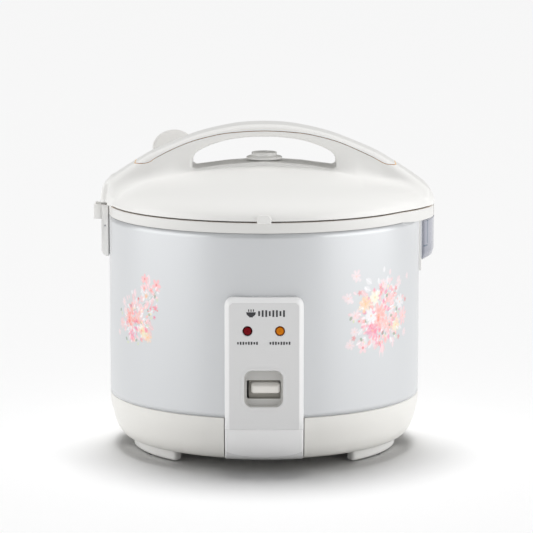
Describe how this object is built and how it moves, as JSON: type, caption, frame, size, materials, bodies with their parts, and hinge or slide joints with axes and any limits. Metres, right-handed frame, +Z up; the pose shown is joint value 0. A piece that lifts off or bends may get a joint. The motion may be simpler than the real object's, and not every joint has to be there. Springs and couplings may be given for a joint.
{
  "type": "jar rice cooker",
  "caption": "Round jar rice cooker with a printed steel body, hinged domed lid under an arched handle, side latch, dew collector, front lever switch and removable pan.",
  "frame": {"origin": "centre of the footprint at floor level, on the body's axis", "axes": "+Z up, -Y to the control panel's side, +X to the lid hinge and dew collector, -X to the latch"},
  "size_m": [0.3286, 0.3192, 0.313],
  "materials": {
    "lid_plastic": "warm white, satin",
    "base_plastic": "cream white, satin",
    "panel_plastic": "light grey, satin",
    "pearl_steel": "pearl white with printed flower sprays",
    "bare_aluminium": "satin",
    "pan_coating": "non-stick inside",
    "polished_steel": "bright",
    "spring_steel": "plain",
    "dark_plastic": "dark",
    "key_plastic": "warm white",
    "rubber_pad": "matt",
    "seal_rubber": "soft",
    "lens_red": "translucent red",
    "lens_amber": "translucent amber",
    "lamp_glass": "clear",
    "collector_plastic": "translucent smoky blue",
    "board": "resin board",
    "insulator": "plain"
  },
  "bodies": {
    "cooker": {"base_housing": "base_plastic", "outer_case": "pearl_steel", "shoulder_ring": "lid_plastic", "inner_case": "bare_aluminium", "side_heater_band": "polished_steel", "inner_pan": "pan_coating", "heating_plate": "bare_aluminium", "sheath_heater": "spring_steel", "sensor_housing": "bare_aluminium", "sensor_spring": "spring_steel", "switch_pin": "polished_steel", "switch_bracket": "polished_steel", "micro_switch": "dark_plastic", "keep_warm_thermostat": "polished_steel", "thermal_fuse": "insulator", "terminal_block": "insulator", "lamp_board": "board", "lamp_cooking": "lamp_glass", "lamp_keep_warm": "lamp_glass", "lens_cooking": "lens_red", "lens_keep_warm": "lens_amber", "front_panel": "panel_plastic", "power_inlet": "dark_plastic", "inlet_pin_left": "polished_steel", "inlet_pin_right": "polished_steel", "collector_plate": "lid_plastic", "latch_bracket": "lid_plastic", "latch_pin": "polished_steel", "latch_spring": "spring_steel", "hinge_pin": "polished_steel", "hinge_spring": "spring_steel", "spatula_holder": "lid_plastic", "foot_pad_1": "rubber_pad", "foot_pad_2": "rubber_pad", "foot_pad_3": "rubber_pad", "foot_pad_4": "rubber_pad", "base_screw_1": "spring_steel", "base_screw_2": "spring_steel", "base_screw_3": "spring_steel"},
    "lid": {"lid_shell": "lid_plastic", "handle_cover": "lid_plastic", "handle_screw_left": "spring_steel", "handle_screw_right": "spring_steel", "lid_liner": "base_plastic", "lid_heater": "bare_aluminium", "steam_duct": "lid_plastic", "inner_lid": "bare_aluminium", "inner_lid_gasket": "seal_rubber", "inner_lid_knob": "dark_plastic"},
    "steam_vent": {"steam_cap": "lid_plastic"},
    "latch": {"latch_lever": "lid_plastic"},
    "switch": {"switch_arm": "dark_plastic", "switch_key": "key_plastic"},
    "magnet": {"magnet_plunger": "dark_plastic"},
    "sensor": {"sensor_cap": "polished_steel", "sensor_ferrite": "dark_plastic"},
    "collector": {"dew_collector": "collector_plastic"},
    "spatula": {"rice_spatula": "lid_plastic"}
  },
  "joints": [
    {"name": "lid_hinge", "type": "hinge", "parent": "cooker", "child": "lid", "pos_m": [0.158, 0, 0.23], "axis": [0, 1, 0], "range_deg": [0, 90]},
    {"name": "steam_cap_lift", "type": "slide", "parent": "lid", "child": "steam_vent", "axis": [0, 0, 1], "range_m": [0, 0.012]},
    {"name": "latch_turn", "type": "hinge", "parent": "cooker", "child": "latch", "pos_m": [-0.1535, 0, 0.214], "axis": [0, -1, 0], "range_deg": [0, 7], "stiffness_Nm_per_rad": 0.5, "springref_deg": -2.86, "deforming": ["latch_spring"]},
    {"name": "cook_switch", "type": "hinge", "parent": "cooker", "child": "switch", "pos_m": [0, -0.075, 0.0445], "axis": [1, 0, 0], "range_deg": [0, 3], "stiffness_Nm_per_rad": 0.6, "springref_deg": -5.73},
    {"name": "magnet_slide", "type": "slide", "parent": "cooker", "child": "magnet", "axis": [0, 0, 1], "range_m": [0, 0.0042]},
    {"name": "sensor_press", "type": "slide", "parent": "cooker", "child": "sensor", "axis": [0, 0, -1], "range_m": [0, 0.003], "stiffness_N_per_m": 600, "springref_m": -0.003, "deforming": ["sensor_spring"]},
    {"name": "collector_pull", "type": "slide", "parent": "cooker", "child": "collector", "axis": [-1, 0, 0], "range_m": [-0.04, 0]},
    {"name": "spatula_lift", "type": "slide", "parent": "cooker", "child": "spatula", "axis": [0, 0, 1], "range_m": [0, 0.12]}
  ],
  "couplings": [
    {"joint": "magnet_slide", "follows": "cook_switch", "m_per_rad": 0.075}
  ]
}
